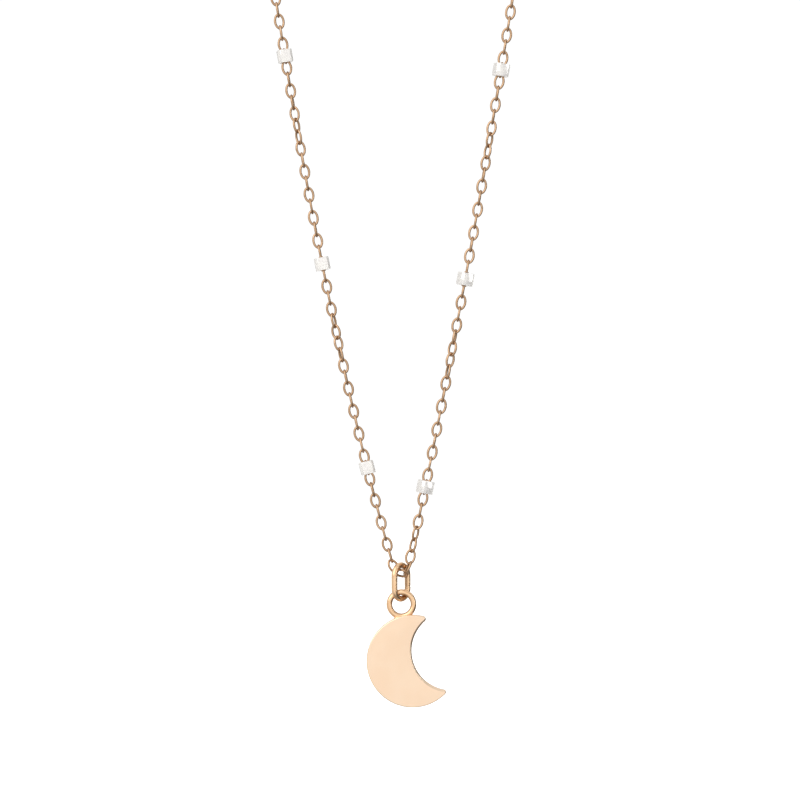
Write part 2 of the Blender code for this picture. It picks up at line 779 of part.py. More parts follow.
rivet = pivot_bar(RIVET_R, CLASP_T + RIVET_EXTRA)
clasp_ring = level_ring(CLASP_RING_X, CLASP_RING_RADIUS, CLASP_RING_WIRE)
end_ring = level_ring(END_RING_X, END_RING_RADIUS, END_RING_WIRE)
place("clasp_body", clasp_body(), ROSE, "upper_chain")
place("clasp_lever", clasp_lever(), ROSE, "clasp_lever")
place("clasp_rivet", rivet, ROSE, "upper_chain")
place("clasp_spring", clasp_spring(), STEEL, "upper_chain")
place("clasp_ring", clasp_ring, ROSE, "clasp_ring")
place("end_ring", end_ring, ROSE, "end_ring")
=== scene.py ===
"""A pendant necklace, closed and hanging flat: two strands of oval links with cut beads, an
oval ring and a crescent moon at the bottom, a lobster clasp at the top.

It hangs in the XZ plane, z up, x to the right, and faces -Y. Design dimensions are in
millimetres from a point by the lowest link; world() turns them into the frame's metres.
The frame's origin is in the clasp's palm, on the clasp's back face.
"""

import math

import bmesh
import bpy
from mathutils import Matrix, Vector

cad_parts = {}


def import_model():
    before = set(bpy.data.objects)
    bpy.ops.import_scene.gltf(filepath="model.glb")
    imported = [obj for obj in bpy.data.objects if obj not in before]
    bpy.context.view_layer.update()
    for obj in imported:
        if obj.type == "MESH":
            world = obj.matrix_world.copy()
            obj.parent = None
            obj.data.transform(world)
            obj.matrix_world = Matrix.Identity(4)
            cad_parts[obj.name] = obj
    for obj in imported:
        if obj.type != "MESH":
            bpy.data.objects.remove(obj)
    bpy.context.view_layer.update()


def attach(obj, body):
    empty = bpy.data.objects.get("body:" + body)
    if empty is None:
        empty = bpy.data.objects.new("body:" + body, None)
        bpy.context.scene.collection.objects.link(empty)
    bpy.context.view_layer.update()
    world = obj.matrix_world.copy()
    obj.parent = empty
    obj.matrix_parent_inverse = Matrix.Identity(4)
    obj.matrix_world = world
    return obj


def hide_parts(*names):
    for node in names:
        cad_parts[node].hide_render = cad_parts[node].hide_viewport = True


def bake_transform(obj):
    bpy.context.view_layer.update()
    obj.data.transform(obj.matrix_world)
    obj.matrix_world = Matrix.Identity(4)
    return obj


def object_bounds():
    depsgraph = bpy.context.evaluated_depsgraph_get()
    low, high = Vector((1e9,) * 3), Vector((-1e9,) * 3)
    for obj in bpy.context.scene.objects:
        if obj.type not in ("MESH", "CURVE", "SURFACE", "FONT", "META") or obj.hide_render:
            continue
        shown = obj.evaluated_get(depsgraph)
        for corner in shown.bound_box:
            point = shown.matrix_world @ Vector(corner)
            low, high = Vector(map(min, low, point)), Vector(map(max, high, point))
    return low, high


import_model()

LEFT, RIGHT = -1, 1
WORD = {LEFT: "left", RIGHT: "right"}
FULL_TURN = 2 * math.pi

# ---------------------------------------------------------------- dimensions
# Links are counted upwards from 0, the apex link that both strands hang on.
WIRE = 0.30
LINK_W = 1.36
HIDDEN_LINK_W = 1.14  # inside a bead
END_LINK_W = 1.66
LINK_PRESS = 0.004  # how far neighbouring links' wires run into each other
LINK_SIDE_POWER = 1.06
APEX = (0.08, 0.006)
APEX_PITCH = 1.40
APEX_ROLL = 39.5
APEX_DEPTH = 0.12
FIRST_LINK_AT = {LEFT: (-0.894, 0.863), RIGHT: (0.879, 0.643)}
FIRST_ROLL = {LEFT: 22.3, RIGHT: 103.8}
FIRST_DEPTH = {LEFT: 0.16, RIGHT: -0.45}
# pitches up to the first, second and third bead, and nominally above
PITCH = {LEFT: (1.419, 1.449, 1.465, 1.465), RIGHT: (1.480, 1.470, 1.473, 1.465)}
# fitting the last link to its ring: length beyond its pitch, and what is taken off
FIT_EXTRA, FIT_OVERLAP = 0.33, 0.26
FOLDS = [0] + [5 + 9 * n for n in range(12)]  # the top links of the movable runs

FIRST_BEAD = {LEFT: 10, RIGHT: 8}
BEAD_EVERY = 18
BEAD_COUNT = 7
BEAD_W, BEAD_L = 1.80, 1.60
BEAD_CUT = 0.30
BEAD_BORE = 1.24
BEAD_TURN = {LEFT: 8.0, RIGHT: 24.0}

# A strand's distance from the middle at height z: start + a ln(1 + z / b)
CURVE = {LEFT: (0.70, 25.0, 88.0), RIGHT: (0.82, 42.0, 195.0)}
EASE_HEIGHT = 6.0  # over which a strand eases from its first link onto its curve
TOP_RADIUS = 25.6
TOP_ARC_HALF_W = 9.6  # where the top arc ends and a straight run to the clasp begins

OVAL_WIRE = 0.76
OVAL_W, OVAL_H = 3.37, 4.96
OVAL_TOP = 1.38
OVAL_TURN = 51.3
OVAL_X = 0.05
EYE_WIRE = 0.73
EYE_D = 3.75
EYE_AT = (0.10, -3.87)

MOON_R, MOON_AT = 5.77, (1.504, -10.97)
BITE_R, BITE_AT = 4.95, (6.33, -9.68)
TOP_TIP_R, LOW_TIP_R = 0.36, 0.28
MOON_T = 1.60
OUTER_EDGE_R, INNER_EDGE_R, BACK_EDGE_R = 0.12, 0.34, 0.22
CROWN_H, CROWN_REACH = 0.11, 2.4

# Clasp places are from the clasp's middle.
CLASP_DROP = 0.95  # the clasp's middle lies this far below the top of the arc
PALM_X = -2.85
CLASP_T = 1.6
CLASP_A, CLASP_B = 4.6, 2.75  # half axes of the outline
MOUTH_A, MOUTH_B, MOUTH_X = 2.55, 1.45, 1.15
PALM_END, HOOK_TIP = 250.0, 300.0  # headings of the gap that the lever closes
EYELET_X, EYELET_R, EYELET_HOLE = -5.0, 1.30, 0.74
EYELET_DISC_X = EYELET_X + 0.15
EYELET_T = 1.0
LEVER_T, SLOT_T = 0.70, 0.84
SLOT_LEFT, SLOT_RIGHT, SLOT_LOW, SLOT_TOP = -3.7, -0.1, -4.0, -0.35
PIVOT = (-1.75, -1.62)
RIVET_R = 0.32
SPRING_R = 0.07
CLASP_RING_D, CLASP_RING_WIRE = 3.2, 0.50
END_RING_D, END_RING_WIRE = 4.4, 0.60
CLASP_RING_R = (CLASP_RING_D - CLASP_RING_WIRE) / 2  # to the middle of the wire
END_RING_R = (END_RING_D - END_RING_WIRE) / 2
CLASP_RING_X = EYELET_X - 0.34 - CLASP_RING_R
END_RING_X = MOUTH_X + MOUTH_A + 1.30
RING_WIRE = {LEFT: CLASP_RING_WIRE, RIGHT: END_RING_WIRE}


# ---------------------------------------------------------------- the strands' path
def curve_x(side, z):
    start, a, b = CURVE[side]
    return start + a * math.log(1 + z / b)


def arc_centre(side, z):
    """Centre of the top arc if it touches the strand's curve at height z."""
    _, a, b = CURVE[side]
    slope = a / (b + z)
    size = math.hypot(1, slope)
    return side * (curve_x(side, z) - TOP_RADIUS / size), z + TOP_RADIUS * slope / size


def bisect(rising, low, high):
    """Where a rising function crosses zero."""
    for _ in range(60):
        middle = (low + high) / 2
        if rising(middle) > 0:
            high = middle
        else:
            low = middle
    return (low + high) / 2


def right_leave(left_z):
    """The right strand's height whose arc centre is level with the left's at left_z."""
    level = arc_centre(LEFT, left_z)[1]
    return bisect(lambda z: arc_centre(RIGHT, z)[1] - level, 50, 260)


def centres_gap(left_z):
    return arc_centre(RIGHT, right_leave(left_z))[0] - arc_centre(LEFT, left_z)[0]


# Both strands run into one top arc; these are the heights where they meet it.
LEAVE = {LEFT: bisect(centres_gap, 60, 240)}
LEAVE[RIGHT] = right_leave(LEAVE[LEFT])
ARC_X, ARC_Z = arc_centre(LEFT, LEAVE[LEFT])
CLASP_X = ARC_X
CLASP_Z = ARC_Z + TOP_RADIUS - CLASP_DROP
# The ring wire that each strand's last link hangs on
HOLD_X = {
    LEFT: CLASP_X + CLASP_RING_X - CLASP_RING_R,
    RIGHT: CLASP_X + END_RING_X + END_RING_R,
}
ORIGIN = Vector((CLASP_X + PALM_X, CLASP_T / 2, CLASP_Z))


def world(x, y, z):
    """A design point, in the frame's metres."""
    return (Vector((x, y, z)) - ORIGIN) * 0.001


def strand_path(side):
    """Points (x, z) from the first link up the curve, round the arc and to the clasp."""
    first_x, first_z = FIRST_LINK_AT[side]
    offset = first_x - side * curve_x(side, first_z)
    points = []
    for i in range(1201):
        z = first_z + (LEAVE[side] - first_z) * i / 1200
        ease = max(0.0, 1 - (z - first_z) / EASE_HEIGHT) ** 2
        points.append(Vector((side * curve_x(side, z) + offset * ease, z)))
    out = points[-1] - Vector((ARC_X, ARC_Z))
    start = math.atan2(out.x * side, out.y)
    stop = math.asin(TOP_ARC_HALF_W / TOP_RADIUS)
    for i in range(1, 601):
        angle = start + (stop - start) * i / 600
        x = ARC_X + side * TOP_RADIUS * math.sin(angle)
        points.append(Vector((x, ARC_Z + TOP_RADIUS * math.cos(angle))))
    corner, hold = points[-1], Vector((HOLD_X[side], CLASP_Z))
    return points + [corner.lerp(hold, i / 60) for i in range(1, 61)]


def running_lengths(points):
    lengths = [0.0]
    for start, end in zip(points, points[1:]):
        lengths.append(lengths[-1] + (end - start).length)
    return lengths


def along(points, lengths, distance):
    """The point at a distance along a line of points."""
    low, high = 0, len(lengths) - 1
    while high - low > 1:
        middle = (low + high) // 2
        if lengths[middle] <= distance:
            low = middle
        else:
            high = middle
    share = (distance - lengths[low]) / (lengths[high] - lengths[low])
    return points[low].lerp(points[high], share)


def place_links(side):
    """The links' centres (x, z), and the pitch that each is made for."""
    points = strand_path(side)
    lengths = running_lengths(points)
    pitches = PITCH[side]
    places, spacing = [0.0], [pitches[0]]
    for part in range(3):
        while len(places) < FIRST_BEAD[side] + BEAD_EVERY * part:
            places.append(places[-1] + pitches[part])
            spacing.append(pitches[part])
    # above the third bead the pitch is adjusted so that a whole number of links fits
    last = lengths[-1] - ((pitches[3] + FIT_EXTRA) / 2 - FIT_OVERLAP - RING_WIRE[side] / 2)
    number = round((last - places[-1]) / pitches[3])
    pitch = (last - places[-1]) / number
    for _ in range(number):
        places.append(places[-1] + pitch)
        spacing.append(pitch)
    return [along(points, lengths, place) for place in places], spacing


CENTRES, SPACING = {}, {}
for side in (LEFT, RIGHT):
    CENTRES[side], SPACING[side] = place_links(side)
LAST = {side: len(CENTRES[side]) for side in (LEFT, RIGHT)}


def centre(side, k):
    return Vector(APEX) if k == 0 else CENTRES[side][k - 1]


def tangent(side, k):
    """The strand's direction (x, z) at link k, upwards along the strand."""
    if k == LAST[side]:
        return (Vector((HOLD_X[side], CLASP_Z)) - centre(side, k - 1)).normalized()
    return (centre(side, k + 1) - centre(side, k - 1)).normalized()


def smooth(x):
    """A smooth step from 0 to 1."""
    x = min(1.0, max(0.0, x))
    return x * x * (3 - 2 * x)


def roll(side, k):
    """Link k's turn about the strand in degrees; 0 lies in the necklace's plane."""
    if k == 0:
        return APEX_ROLL
    if k == 1:
        return FIRST_ROLL[side]
    end = LAST[side]
    turn = 0.0 if side == LEFT else 90.0 + 90.0 * smooth((k - 1) / 5)
    # the strand twists by a quarter below every bead but the first
    for n in range(1, BEAD_COUNT):
        bead = FIRST_BEAD[side] + BEAD_EVERY * n
        turn += 90.0 * smooth((k - (bead - 10)) / 7)
    # and over its last links it turns back so that the end link lies flat
    quarters = (0.0 if end % 2 else 90.0) + 90.0 * (BEAD_COUNT - 1)
    turn -= (quarters % 180.0) * smooth((k - (end - 7)) / 6)
    # a small sway keeps neighbours from turning by exactly a quarter
    if k < end:
        turn += 3.0 * math.sin(k * 2.399 + side)
    return (0.0 if k % 2 else 90.0) + turn


def depth(side, k):
    if k == 0:
        return APEX_DEPTH
    return FIRST_DEPTH[side] * max(0.0, 1 - (k - 1) / 3)


def spot(side, k):
    """A link's centre in space."""
    place = centre(side, k)
    return Vector((place.x, depth(side, k), place.y))


def direction(side, k):
    """A link's long axis."""
    if k == 0:
        return (spot(RIGHT, 1) - spot(LEFT, 1)).normalized()
    if k == LAST[side]:
        heading_up = tangent(side, k)
        return Vector((heading_up.x, 0, heading_up.y))
    return (spot(side, k + 1) - spot(side, k - 1)).normalized()


# ---------------------------------------------------------------- shader helpers
def feed(tree, socket, value):
    """Link value to socket if it is a socket itself, else set it."""
    if isinstance(value, bpy.types.NodeSocket):
        tree.links.new(value, socket)
    else:
        socket.default_value = value


def add_node(tree, kind, inputs, **settings):
    made = tree.nodes.new(kind)
    for key, value in settings.items():
        setattr(made, key, value)
    for key, value in inputs.items():
        feed(tree, made.inputs[key], value)
    return made


def ramp(tree, source, low, high, low_value, high_value):
    """source from low..high, smoothly turned into low_value..high_value."""
    inputs = {
        "Value": source,
        "From Min": low,
        "From Max": high,
        "To Min": low_value,
        "To Max": high_value,
    }
    made = add_node(tree, "ShaderNodeMapRange", inputs, interpolation_type="SMOOTHSTEP")
    return made.outputs["Result"]


def mix(tree, data_type, factor, a, b):
    inputs = {"Factor": factor, "A": a, "B": b}
    return add_node(tree, "ShaderNodeMix", inputs, data_type=data_type).outputs["Result"]


def math_node(tree, operation, *values):
    inputs = dict(enumerate(values))
    made = add_node(tree, "ShaderNodeMath", inputs, operation=operation)
    return made.outputs["Value"]


def noise(tree, at, scale, detail, roughness):
    inputs = {"Vector": at, "Scale": scale, "Detail": detail, "Roughness": roughness}
    return add_node(tree, "ShaderNodeTexNoise", inputs).outputs["Fac"]


# ---------------------------------------------------------------- materials
# (turn in radians, how far the noise is squeezed) of the two sets of buffing lines
BUFFING = ((0.35, 14.0), (-0.9, 9.0))


def metal(
    name,
    *,
    light,
    dark,
    roughness,
    spread,
    scratches,
    grain,
    islands=0.0,
    shade=0.0,
    metallic=1.0,
):
    """Polished metal. light and dark are its clean and its tarnished colour; spread is the
    roughness that buffing lines add, scratches their height in metres and grain the size
    of its cloudiness in metres. islands varies the tone from one link to the next. shade
    is painted shade: it darkens the faces that a piece stores as its inner side."""
    material = bpy.data.materials.new(name)
    material.use_nodes = True
    tree = material.node_tree
    bsdf = tree.nodes["Principled BSDF"]
    at = tree.nodes.new("ShaderNodeTexCoord").outputs["Object"]
    cloud = noise(tree, at, scale=1 / grain, detail=4.0, roughness=0.6)

    # buffing lines: noise drawn out along one direction, twice, crossed
    fine = []
    for turn, squeeze in BUFFING:
        place = {"Vector": at, "Rotation": (0.2, turn, 0.1), "Scale": (1.0, 1.0, squeeze)}
        mapped = add_node(tree, "ShaderNodeMapping", place).outputs["Vector"]
        fine.append(noise(tree, mapped, scale=1400.0, detail=3.0, roughness=0.55))
    total = math_node(tree, "ADD", *fine)
    lines = ramp(tree, total, low=0.75, high=1.30, low_value=0.0, high_value=1.0)

    tone = ramp(tree, cloud, low=0.30, high=0.72, low_value=0.0, high_value=1.0)
    if islands:
        per_link = tree.nodes.new("ShaderNodeNewGeometry").outputs["Random Per Island"]
        tone = mix(tree, "FLOAT", islands, tone, per_link)
    colour = mix(tree, "RGBA", tone, (*light, 1), (*dark, 1))
    # painted shade: faces stored as inner, where shade falls inside a ring or a bore, are mixed
    # towards a darker shade colour
    if shade:
        inner = add_node(tree, "ShaderNodeAttribute", {}, attribute_name="inner")
        fac = inner.outputs["Fac"]
        painted_shade_amount = ramp(tree, fac, low=0.50, high=1.0, low_value=0.0, high_value=shade)
        painted_shade_colour = tuple(0.42 * v for v in dark)
        colour = mix(tree, "RGBA", painted_shade_amount, colour, (*painted_shade_colour, 1))
    rough = math_node(tree, "MULTIPLY_ADD", lines, spread, roughness)
    relief = {"Strength": 1.0, "Distance": scratches, "Height": lines}
    bump = add_node(tree, "ShaderNodeBump", relief)

    feed(tree, bsdf.inputs["Metallic"], metallic)
    feed(tree, bsdf.inputs["Base Color"], colour)
    feed(tree, bsdf.inputs["Roughness"], rough)
    feed(tree, bsdf.inputs["Normal"], bump.outputs["Normal"])
    return material


MOON = metal(
    "rose_gold_moon",
    light=(1.000, 0.775, 0.580),
    dark=(0.988, 0.745, 0.545),
    roughness=0.22,
    spread=0.05,
    scratches=2.5e-7,
    grain=0.0035,
)
ROSE = metal(
    "rose_gold_rings",
    light=(0.995, 0.700, 0.445),
    dark=(0.955, 0.610, 0.355),
    roughness=0.20,
    spread=0.08,
    scratches=6.0e-7,
    grain=0.0012,
    shade=0.7,
)
# painted shade: the chain's rose gold is darkened so that its thin wires look dark
CHAIN = metal(
    "rose_gold_chain_wire_painted_shade",
    light=(0.705, 0.475, 0.305),
    dark=(0.530, 0.335, 0.195),
    roughness=0.24,
    spread=0.12,
    scratches=3.0e-7,
    grain=0.0006,
    islands=0.5,
    shade=0.6,
)
CLASP = metal(
    "rose_gold_clasp",
    light=(0.955, 0.660, 0.450),
    dark=(0.890, 0.570, 0.360),
    roughness=0.20,
    spread=0.10,
    scratches=8.0e-7,
    grain=0.0016,
)
SILVER = metal(
    "white_silver_cut",
    light=(0.690, 0.678, 0.652),
    dark=(0.635, 0.618, 0.606),
    roughness=0.13,
    spread=0.06,
    scratches=6.0e-8,
    grain=0.0007,
    shade=0.8,
    metallic=0.50,
)
STEEL = metal(
    "spring_steel_wire",
    light=(0.640, 0.640, 0.640),
    dark=(0.480, 0.480, 0.490),
    roughness=0.30,
    spread=0.15,
    scratches=1.0e-6,
    grain=0.0005,
)


# ---------------------------------------------------------------- modelling helpers
def inner_layer(bm):
    """How far each vertex faces the inside of its ring, from 0 to 1, where a metal's shade is
    painted.
    """
    return bm.verts.layers.float.get("inner") or bm.verts.layers.float.new("inner")


def finish_piece(name, bm, material, body, replaces=None, sharp=180):
    """Make bm, in design millimetres, a piece that rides on a body. replaces is the CAD
    node it stands for; edges over sharp degrees stay sharp."""
    inner_layer(bm)
    bmesh.ops.recalc_face_normals(bm, faces=bm.faces)
    for vert in bm.verts:
        vert.co = world(*vert.co)
    mesh = bpy.data.meshes.new(name)
    bm.to_mesh(mesh)
    bm.free()
    mesh.materials.append(material)
    mesh.shade_smooth()
    mesh.set_sharp_from_angle(angle=math.radians(sharp))
    piece = bpy.data.objects.new(name, mesh)
    bpy.context.scene.collection.objects.link(piece)
    if body:
        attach(piece, body)
    if replaces:
        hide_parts(replaces)
    return piece


def skin(bm, rings, closed=False):
    """Faces between each ring of vertices and the next."""
    following = rings[1:] + rings[:1] if closed else rings[1:]
    for near, far in zip(rings, following):
        for j in range(len(near)):
            k = (j + 1) % len(near)
            bm.faces.new((near[j], near[k], far[k], far[j]))


def cap_wire(bm, ring, end, near):
    """A slightly rounded cut end; near is the wire's centre next to end."""
    tip = end + (end - near).normalized() * ((ring[0].co - end).length * 0.35)
    small = [bm.verts.new(tip.lerp(vert.co, 0.6)) for vert in ring]
    skin(bm, [ring, small])
    bm.faces.new(small)


def sweep(bm, centres, normal, radius, sides, closed=True):
    """A wire along a flat line of centres. radius may be a function of the share gone
    round. On a loop, the side towards the middle is stored as inner, where the metal paints
    shade."""
    layer = inner_layer(bm)
    n = len(centres)
    rings = []
    middle = sum(centres, Vector()) / n
    for i, point in enumerate(centres):
        before = centres[i - 1] if closed or i else point
        after = centres[(i + 1) % n] if closed or i < n - 1 else point
        out = (after - before).normalized().cross(normal).normalized()
        if closed and out.dot(point - middle) < 0:
            out = -out
        r = radius(i / n) if callable(radius) else radius
        ring = []
        for j in range(sides):
            a = FULL_TURN * j / sides
            vert = bm.verts.new(point + r * (math.cos(a) * out + math.sin(a) * normal))
            vert[layer] = smooth(-math.cos(a))
            ring.append(vert)
        rings.append(ring)
    skin(bm, rings, closed)
    if not closed:
        cap_wire(bm, rings[0], centres[0], centres[1])
        cap_wire(bm, rings[-1], centres[-1], centres[-2])


def seamed(radius, at, change, width):
    """A wire radius that changes by a share at a seam; at and width are shares of the
    way round."""
    return lambda share: radius * (1 + change * math.exp(-(((share - at) / width) ** 2)))


def circle_loop(middle, radius, n, u, v):
    middle, u, v = Vector(middle), Vector(u), Vector(v)
    angles = [FULL_TURN * i / n for i in range(n)]
    return [middle + radius * (math.cos(a) * u + math.sin(a) * v) for a in angles]


# ---------------------------------------------------------------- chain
def bead_links(side):
    return [FIRST_BEAD[side] + BEAD_EVERY * n for n in range(BEAD_COUNT)]


def link_width(side, k):
    if k in bead_links(side):
        return HIDDEN_LINK_W
    return END_LINK_W if k == LAST[side] else LINK_W


def link_axes(side, k):
    """The directions of a link's width, thickness and length."""
    up = direction(side, k)
    across = Vector((0, 1, 0)).cross(up).normalized()
    a = math.radians(roll(side, k))
    wide = math.cos(a) * across + math.sin(a) * up.cross(across)
    return wide, up.cross(wide), up


def add_link(bm, side, k):
    """An oval of round wire with a small soldered joint on one of its long sides."""
    pitch = SPACING[side][k - 1] if k else APEX_PITCH
    half_l = (pitch + WIRE - LINK_PRESS) / 2
    half_w = (link_width(side, k) - WIRE) / 2
    wide, thick, up = link_axes(side, k)
    middle = spot(side, k)
    loop = []
    for i in range(32):
        a = FULL_TURN * i / 32
        s = math.sin(a)
        x = half_w * math.copysign(abs(s) ** LINK_SIDE_POWER, s)
        loop.append(middle + wide * x + up * half_l * math.cos(a))
    joint = 0.25 if k % 3 else 0.75
    sweep(bm, loop, thick, seamed(WIRE / 2, at=joint, change=0.07, width=0.022), 10)


def chain_runs():
    """(side, part, first link, last link, body) of each run, numbered from the top."""
    runs = []
    for side in (LEFT, RIGHT):
        runs.append((side, "top", FOLDS[-1] + 1, LAST[side], "upper_chain"))
        for i in range(1, len(FOLDS)):
            body = f"{WORD[side]}_run_{i:02d}"
            runs.append((side, f"{i:02d}", FOLDS[-i - 1] + 1, FOLDS[-i], body))
    return runs


RUNS = chain_runs()


def body_of(side, k):
    return next(
        body for run_side, _, first, last, body in RUNS if run_side == side and first <= k <= last
    )


def build_chain():
    for side, part, first, last, body in RUNS:
        word = WORD[side]
        bm = bmesh.new()
        for k in range(first, last + 1):
            add_link(bm, side, k)
        finish_piece(f"{word}_links_{part}", bm, CHAIN, body, f"{word}_chain_{part}")
    bm = bmesh.new()
    add_link(bm, LEFT, 0)
    finish_piece("apex_link_wire", bm, CHAIN, "apex_link", "apex_chain_link")


# ---------------------------------------------------------------- beads
CORNER_EASE = 0.045
HALF_BEAD, BORE_R = BEAD_L / 2, BEAD_BORE / 2
# (height, inset of the outer wall, radius or None on the outer wall, inner value, how
# much painted shade the bore gets): up the outer wall, then down the bore
BEAD_ROWS = [
    (-HALF_BEAD, 0.075, None, 0.0),
    (-HALF_BEAD + 0.022, 0.022, None, 0.0),
    (-HALF_BEAD + 0.075, 0.0, None, 0.0),
    (HALF_BEAD - 0.075, 0.0, None, 0.0),
    (HALF_BEAD - 0.022, 0.022, None, 0.0),
    (HALF_BEAD, 0.075, None, 0.0),
    (HALF_BEAD, 0.0, BORE_R + 0.07, 0.35),
    (HALF_BEAD - 0.05, 0.0, BORE_R, 0.8),
    (0.35, 0.0, BORE_R, 1.0),
    (-0.35, 0.0, BORE_R, 1.0),
    (-HALF_BEAD + 0.05, 0.0, BORE_R, 0.8),
    (-HALF_BEAD, 0.0, BORE_R + 0.07, 0.35),
]


def bead_outline(inset):
    """A square with its corners cut, each of its eight corners eased a little."""
    w = BEAD_W / 2 - inset
    e = BEAD_W / 2 - BEAD_CUT - inset * 0.4
    corners = [(w, -e), (w, e), (e, w), (-e, w), (-w, e), (-w, -e), (-e, -w), (e, -w)]
    corners = [Vector(corner) for corner in corners]
    outline = []
    for i, corner in enumerate(corners):
        before, after = corners[i - 1], corners[(i + 1) % 8]
        start = corner + (before - corner).normalized() * CORNER_EASE
        end = corner + (after - corner).normalized() * CORNER_EASE
        outline += [start, start * 0.25 + corner * 0.5 + end * 0.25, end]
    return outline


def add_bead(bm, side, k):
    layer = inner_layer(bm)
    heading_up = tangent(side, k)
    up = Vector((heading_up.x, 0, heading_up.y))
    across = Vector((heading_up.y, 0, -heading_up.x))
    turn = math.radians(BEAD_TURN[side] + 4.0 * math.sin(k * 1.7))
    wide = math.cos(turn) * across + math.sin(turn) * Vector((0, 1, 0))
    thick = up.cross(wide)
    place = centre(side, k)
    middle = Vector((place.x, 0, place.y))
    rings = []
    for height, inset, radius, inner in BEAD_ROWS:
        ring = []
        for p in bead_outline(inset):
            if radius is not None:
                p = p.normalized() * radius
            vert = bm.verts.new(middle + wide * p.x + thick * p.y + up * height)
            vert[layer] = inner
            ring.append(vert)
        rings.append(ring)
    skin(bm, rings, closed=True)


def build_beads():
    for side in (LEFT, RIGHT):
        word = WORD[side]
        for n, k in enumerate(bead_links(side), 1):
            bm = bmesh.new()
            add_bead(bm, side, k)
            finish_piece(
                f"{word}_cut_bead_{n}",
                bm,
                SILVER,
                body_of(side, k),
                replaces=f"{word}_bead_{n}",
                sharp=30,
            )


# ---------------------------------------------------------------- pendant rings
def long_ring_point(s, half_w, straight):
    """The point at distance s, clockwise from the top, round two half circles of radius
    half_w joined by sides 2 * straight long."""
    half_circle = math.pi * half_w
    right_side = half_circle / 2
    bottom = right_side + 2 * straight
    left_side = half_circle * 1.5 + 2 * straight
    top = half_circle * 1.5 + 4 * straight
    if s < right_side:
        return half_w * math.sin(s / half_w), straight + half_w * math.cos(s / half_w)
    if s < bottom:
        return half_w, straight - (s - right_side)
    if s < left_side:
        a = (s - bottom) / half_w
        return half_w * math.cos(a), -straight - half_w * math.sin(a)
    if s < top:
        return -half_w, -straight + (s - left_side)
    a = (s - top) / half_w
    return -half_w * math.cos(a), straight + half_w * math.sin(a)


def build_oval_ring():
    turn = math.radians(OVAL_TURN)
    broad = Vector((math.cos(turn), math.sin(turn), 0))
    flat = Vector((-math.sin(turn), math.cos(turn), 0))
    half_w, half_h = (OVAL_W - OVAL_WIRE) / 2, (OVAL_H - OVAL_WIRE) / 2
    straight = half_h - half_w
    middle = Vector((OVAL_X, 0, OVAL_TOP - OVAL_H / 2))
    loop = []
    for i in range(96):
        s = i / 96 * (2 * math.pi * half_w + 4 * straight)
        x, z = long_ring_point(s, half_w, straight)
        loop.append(middle + broad * x + Vector((0, 0, z)))
    bm = bmesh.new()
    # the closing seam is low on the rear leg
    sweep(bm, loop, flat, seamed(OVAL_WIRE / 2, at=0.30, change=-0.10, width=0.006), 20)
    finish_piece("oval_ring_wire", bm, ROSE, "oval_ring", replaces="oval_ring")


def build_eye_ring():
    """The round ring on top of the moon."""
    middle = (EYE_AT[0], 0, EYE_AT[1])
    loop = circle_loop(middle, (EYE_D - EYE_WIRE) / 2, 80, (1, 0, 0), (0, 0, 1))
    bm = bmesh.new()
    sweep(bm, loop, Vector((0, 1, 0)), EYE_WIRE / 2, 20)
    finish_piece("eye_ring_wire", bm, ROSE, "moon", replaces="moon_eye_ring")


SOLDER_HALF_L, SOLDER_HALF_H, SOLDER_HALF_T = 1.06, 0.30, 0.40
SOLDER_SINK = 0.10  # its middle lies this far inside the moon's edge
SOLDER_STEPS, SOLDER_SIDES = 28, 16


def build_solder():
    """The solder that runs up each side of the eye ring's foot, along the moon's edge."""
    from_moon = EYE_AT[0] - 0.02 - MOON_AT[0]
    out = Vector((from_moon, math.sqrt(MOON_R**2 - from_moon**2))).normalized()
    foot = Vector(MOON_AT) + out * (MOON_R - SOLDER_SINK)
    edge = Vector((out.y, -out.x))
    bm = bmesh.new()
    rings = []
    for i in range(SOLDER_STEPS + 1):
        s = -1 + 2 * i / SOLDER_STEPS
        full = math.sqrt(max(0.0, 1 - s * s))
        # lower in the middle, under the ring
        tall = SOLDER_HALF_H * full * (1 - 0.45 * math.exp(-((s / 0.35) ** 2)))
        thick = SOLDER_HALF_T * full**0.8
        ring = []
        for j in range(SOLDER_SIDES):
            a = FULL_TURN * j / SOLDER_SIDES
            p = foot + edge * s * SOLDER_HALF_L + out * tall * math.cos(a)
            ring.append(bm.verts.new((p.x, thick * math.sin(a), p.y)))
        rings.append(ring)
    skin(bm, rings)
    bmesh.ops.remove_doubles(bm, verts=bm.verts, dist=1e-5)
    finish_piece("eye_ring_solder", bm, MOON, "moon")


# ---------------------------------------------------------------- moon
# The crescent is the moon's circle less the bite's, its two horns ended in small circles.
MOON_C, BITE_C = Vector(MOON_AT), Vector(BITE_AT)
COLS, ROWS = 150, 34
# distances in from each edge of the first rows, closest where the edge is rounded
NEAR_EDGE = [0.0, 0.008, 0.03, 0.065, 0.11, 0.17, 0.24, 0.31, 0.38, 0.50, 0.68, 0.92, 1.2]


def tip_centre(radius, sign):
    """Centre of a horn's end circle, inside the moon's circle and outside the bite's."""
    x, z = MOON_AT
    dx, dz = BITE_AT[0] - x, BITE_AT[1] - z
    apart = math.hypot(dx, dz)
    a = ((MOON_R - radius) ** 2 - (BITE_R + radius) ** 2 + apart * apart) / (2 * apart)
    h = math.sqrt((MOON_R - radius) ** 2 - a * a)
    ux, uz = dx / apart, dz / apart
    return Vector((x + a * ux - sign * h * uz, z + a * uz + sign * h * ux))


TOP_TIP, LOW_TIP = tip_centre(TOP_TIP_R, 1), tip_centre(LOW_TIP_R, -1)


def heading(start, end):
    return math.atan2(end[1] - start[1], end[0] - start[0])


def arc_points(middle, radius, start, end, n):
    angles = [start + (end - start) * i / n for i in range(n + 1)]
    return [middle + radius * Vector((math.cos(a), math.sin(a))) for a in angles]


def turned(angle, low):
    """The angle, brought to within one turn above low."""
    return low + (angle - low) % FULL_TURN


def turned_back(angle, high):
    """The angle, brought to within one turn below high."""
    return high - (high - angle) % FULL_TURN


